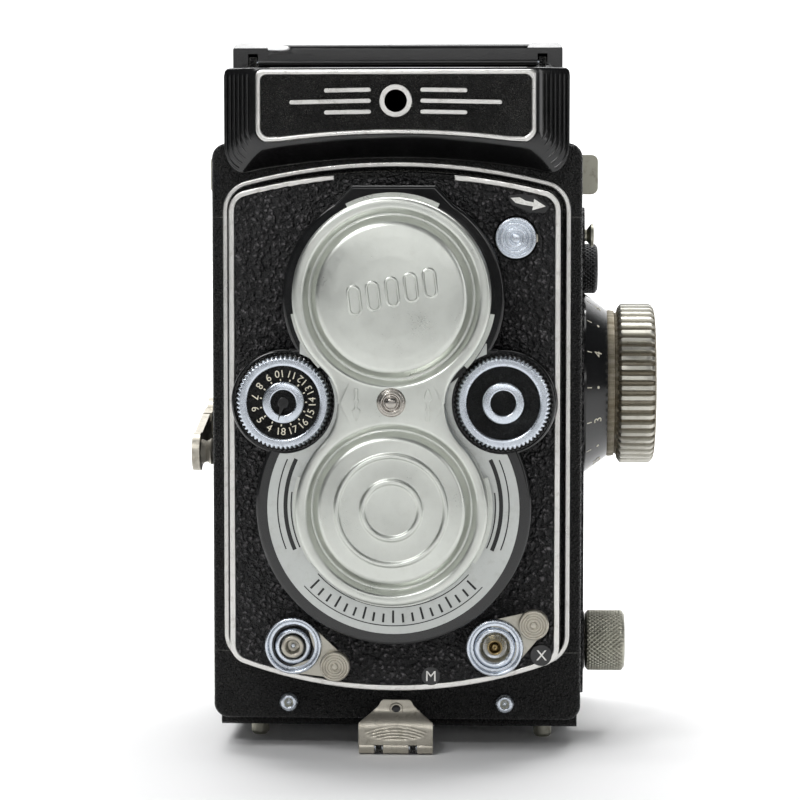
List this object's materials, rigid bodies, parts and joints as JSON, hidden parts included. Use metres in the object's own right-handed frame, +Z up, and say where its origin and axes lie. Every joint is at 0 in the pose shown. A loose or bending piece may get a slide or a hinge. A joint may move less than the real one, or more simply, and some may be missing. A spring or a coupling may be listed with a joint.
{
  "type": "twin lens reflex camera",
  "caption": "Boxy twin lens reflex camera with a folded waist-level hood, side focus knob, folding winding crank, hinged back and a figure-of-eight lens cap.",
  "frame": {"origin": "centre of the tripod socket's mouth, on the underside of the base plate", "axes": "+X towards the focus knob, +Y from the lenses towards the back, +Z up towards the hood"},
  "size_m": [0.0972, 0.0911, 0.1484],
  "materials": {
    "crinkle_paint": "black wrinkle paint",
    "gloss_paint": "gloss black enamel",
    "leather": "pebbled black leather",
    "bright_trim": "bright plated",
    "satin_plate": "satin silver",
    "cap_metal": "worn satin",
    "nickel": "aged nickel",
    "dark_steel": "blackened",
    "gear_brass": "machined",
    "optical_glass": "polished",
    "screen_glass": "ground",
    "mirror": "front silvered",
    "dial_black": "matt black"
  },
  "bodies": {
    "camera_body": {"body_casting": "crinkle_paint", "front_frame": "crinkle_paint", "body_trim": "bright_trim", "side_leather": "leather", "crank_cover": "crinkle_paint", "body_fittings": "bright_trim", "film_gate": "dark_steel", "film_rollers": "nickel", "reflex_mirror": "mirror", "focusing_screen": "screen_glass", "hood_housing": "crinkle_paint", "hinge_pins": "nickel", "name_plate": "crinkle_paint", "plate_border": "bright_trim"},
    "lens_board": {"lens_board": "crinkle_paint", "board_trim": "bright_trim", "front_leather": "leather", "lens_housing": "gloss_paint", "shutter_face": "satin_plate", "view_barrel": "nickel", "take_barrel": "nickel", "lens_glass": "optical_glass", "shutter_case": "dark_steel", "carriage_rods": "nickel", "port_collars": "bright_trim"},
    "crank": {"crank_hub": "nickel"},
    "crank_arm": {"crank_arm": "nickel"},
    "crank_knob": {"crank_knob": "nickel"},
    "idler": {"idler_gear": "gear_brass"},
    "film_spool": {"spool_gear": "gear_brass", "takeup_spool": "dark_steel"},
    "focus": {"focus_scale": "gloss_paint", "focus_knob": "nickel", "focus_cam": "nickel"},
    "feed_knob": {"feed_knob": "nickel"},
    "takeup_knob": {"takeup_knob": "dark_steel"},
    "back_door": {"back_door": "crinkle_paint", "back_leather": "leather", "pressure_plate": "dark_steel", "tripod_socket": "bright_trim", "feet": "nickel"},
    "door_catch": {"door_catch": "nickel"},
    "hood_lid": {"hood_lid": "crinkle_paint", "lid_leaves": "satin_plate", "magnifier_frame": "dark_steel", "magnifier_lens": "optical_glass", "finder_flap": "crinkle_paint"},
    "hood_rear": {"hood_rear": "crinkle_paint"},
    "hood_side_left": {"hood_side_left": "crinkle_paint"},
    "hood_side_right": {"hood_side_right": "crinkle_paint"},
    "release_button": {"release_button": "nickel"},
    "release_lock": {"release_lock": "nickel"},
    "sync_slider": {"sync_slider": "nickel"},
    "timer_knob": {"timer_knob": "nickel"},
    "aperture_wheel": {"aperture_wheel": "bright_trim", "aperture_dial": "dial_black"},
    "shutter_wheel": {"shutter_wheel": "bright_trim", "shutter_dial": "dial_black"},
    "lens_cap": {"cap_shell": "cap_metal", "cap_faces": "cap_metal"}
  },
  "joints": [
    {"name": "focus_turn", "type": "hinge", "parent": "camera_body", "child": "focus", "pos_m": [0.045, 0.005, 0.07], "axis": [1, 0, 0], "range_deg": [0, 290]},
    {"name": "lens_board_slide", "type": "slide", "parent": "camera_body", "child": "lens_board", "axis": [0, 1, 0], "range_m": [0, 0.0065]},
    {"name": "crank_turn", "type": "hinge", "parent": "camera_body", "child": "crank", "pos_m": [-0.042, 0.005, 0.061], "axis": [1, 0, 0], "continuous": true},
    {"name": "idler_turn", "type": "hinge", "parent": "camera_body", "child": "idler", "pos_m": [-0.0355, 0.00549, 0.08149], "axis": [1, 0, 0], "continuous": true},
    {"name": "film_spool_turn", "type": "hinge", "parent": "camera_body", "child": "film_spool", "pos_m": [0, 0.0192, 0.0945], "axis": [1, 0, 0], "continuous": true},
    {"name": "crank_fold", "type": "hinge", "parent": "crank", "child": "crank_arm", "pos_m": [-0.0424, -0.00231, 0.05984], "axis": [0, 0.1564, -0.9877], "range_deg": [0, 90]},
    {"name": "crank_knob_spin", "type": "hinge", "parent": "crank_arm", "child": "crank_knob", "pos_m": [-0.0405, -0.02029, 0.05699], "axis": [1, 0, 0], "continuous": true},
    {"name": "feed_knob_pull", "type": "slide", "parent": "camera_body", "child": "feed_knob", "axis": [1, 0, 0], "range_m": [0, 0.006], "stiffness_N_per_m": 150, "springref_m": -0.002},
    {"name": "takeup_knob_pull", "type": "slide", "parent": "camera_body", "child": "takeup_knob", "axis": [1, 0, 0], "range_m": [0, 0.006], "stiffness_N_per_m": 150, "springref_m": -0.002},
    {"name": "back_door_swing", "type": "hinge", "parent": "camera_body", "child": "back_door", "pos_m": [0, 0.0334, 0.1192], "axis": [1, 0, 0], "range_deg": [0, 100]},
    {"name": "door_catch_swing", "type": "hinge", "parent": "camera_body", "child": "door_catch", "pos_m": [0, -0.0358, -0.0023], "axis": [1, 0, 0], "range_deg": [0, 80]},
    {"name": "hood_lid_swing", "type": "hinge", "parent": "camera_body", "child": "hood_lid", "pos_m": [0, -0.0285, 0.1375], "axis": [1, 0, 0], "range_deg": [0, 90]},
    {"name": "hood_rear_swing", "type": "hinge", "parent": "camera_body", "child": "hood_rear", "pos_m": [0, 0.029, 0.1355], "axis": [-1, 0, 0], "range_deg": [0, 90]},
    {"name": "hood_side_right_swing", "type": "hinge", "parent": "camera_body", "child": "hood_side_right", "pos_m": [0.0305, 0, 0.1305], "axis": [0, 1, 0], "range_deg": [0, 90]},
    {"name": "hood_side_left_swing", "type": "hinge", "parent": "camera_body", "child": "hood_side_left", "pos_m": [-0.0305, 0, 0.1305], "axis": [0, -1, 0], "range_deg": [0, 90]},
    {"name": "release_press", "type": "slide", "parent": "lens_board", "child": "release_button", "axis": [0, 1, 0], "range_m": [0, 0.002], "stiffness_N_per_m": 300, "springref_m": -0.0015},
    {"name": "release_lock_turn", "type": "hinge", "parent": "lens_board", "child": "release_lock", "pos_m": [-0.0204, -0.0427, 0.0197], "axis": [0, 1, 0], "range_deg": [0, 40]},
    {"name": "sync_lever_turn", "type": "hinge", "parent": "lens_board", "child": "sync_slider", "pos_m": [0.0203, -0.0427, 0.0196], "axis": [0, 1, 0], "range_deg": [0, 30]},
    {"name": "self_timer_turn", "type": "hinge", "parent": "lens_board", "child": "timer_knob", "pos_m": [0.0243, -0.0435, 0.1019], "axis": [0, 1, 0], "range_deg": [-60, 0]},
    {"name": "aperture_wheel_turn", "type": "hinge", "parent": "lens_board", "child": "aperture_wheel", "pos_m": [-0.0219, -0.046, 0.0692], "axis": [0, 1, 0], "range_deg": [-130, 130]},
    {"name": "shutter_wheel_turn", "type": "hinge", "parent": "lens_board", "child": "shutter_wheel", "pos_m": [0.0219, -0.046, 0.0692], "axis": [0, 1, 0], "range_deg": [-130, 130]},
    {"name": "lens_cap_pull", "type": "slide", "parent": "lens_board", "child": "lens_cap", "axis": [0, -1, 0], "range_m": [0, 0.03]}
  ],
  "couplings": [
    {"joint": "focus_turn", "follows": "lens_board_slide", "rad_per_m": 778.69},
    {"joint": "idler_turn", "follows": "crank_turn", "ratio": -0.88889},
    {"joint": "film_spool_turn", "follows": "crank_turn", "ratio": 1.2},
    {"joint": "hood_rear_swing", "follows": "hood_lid_swing", "ratio": 1},
    {"joint": "hood_side_right_swing", "follows": "hood_lid_swing", "ratio": 1},
    {"joint": "hood_side_left_swing", "follows": "hood_lid_swing", "ratio": 1}
  ]
}
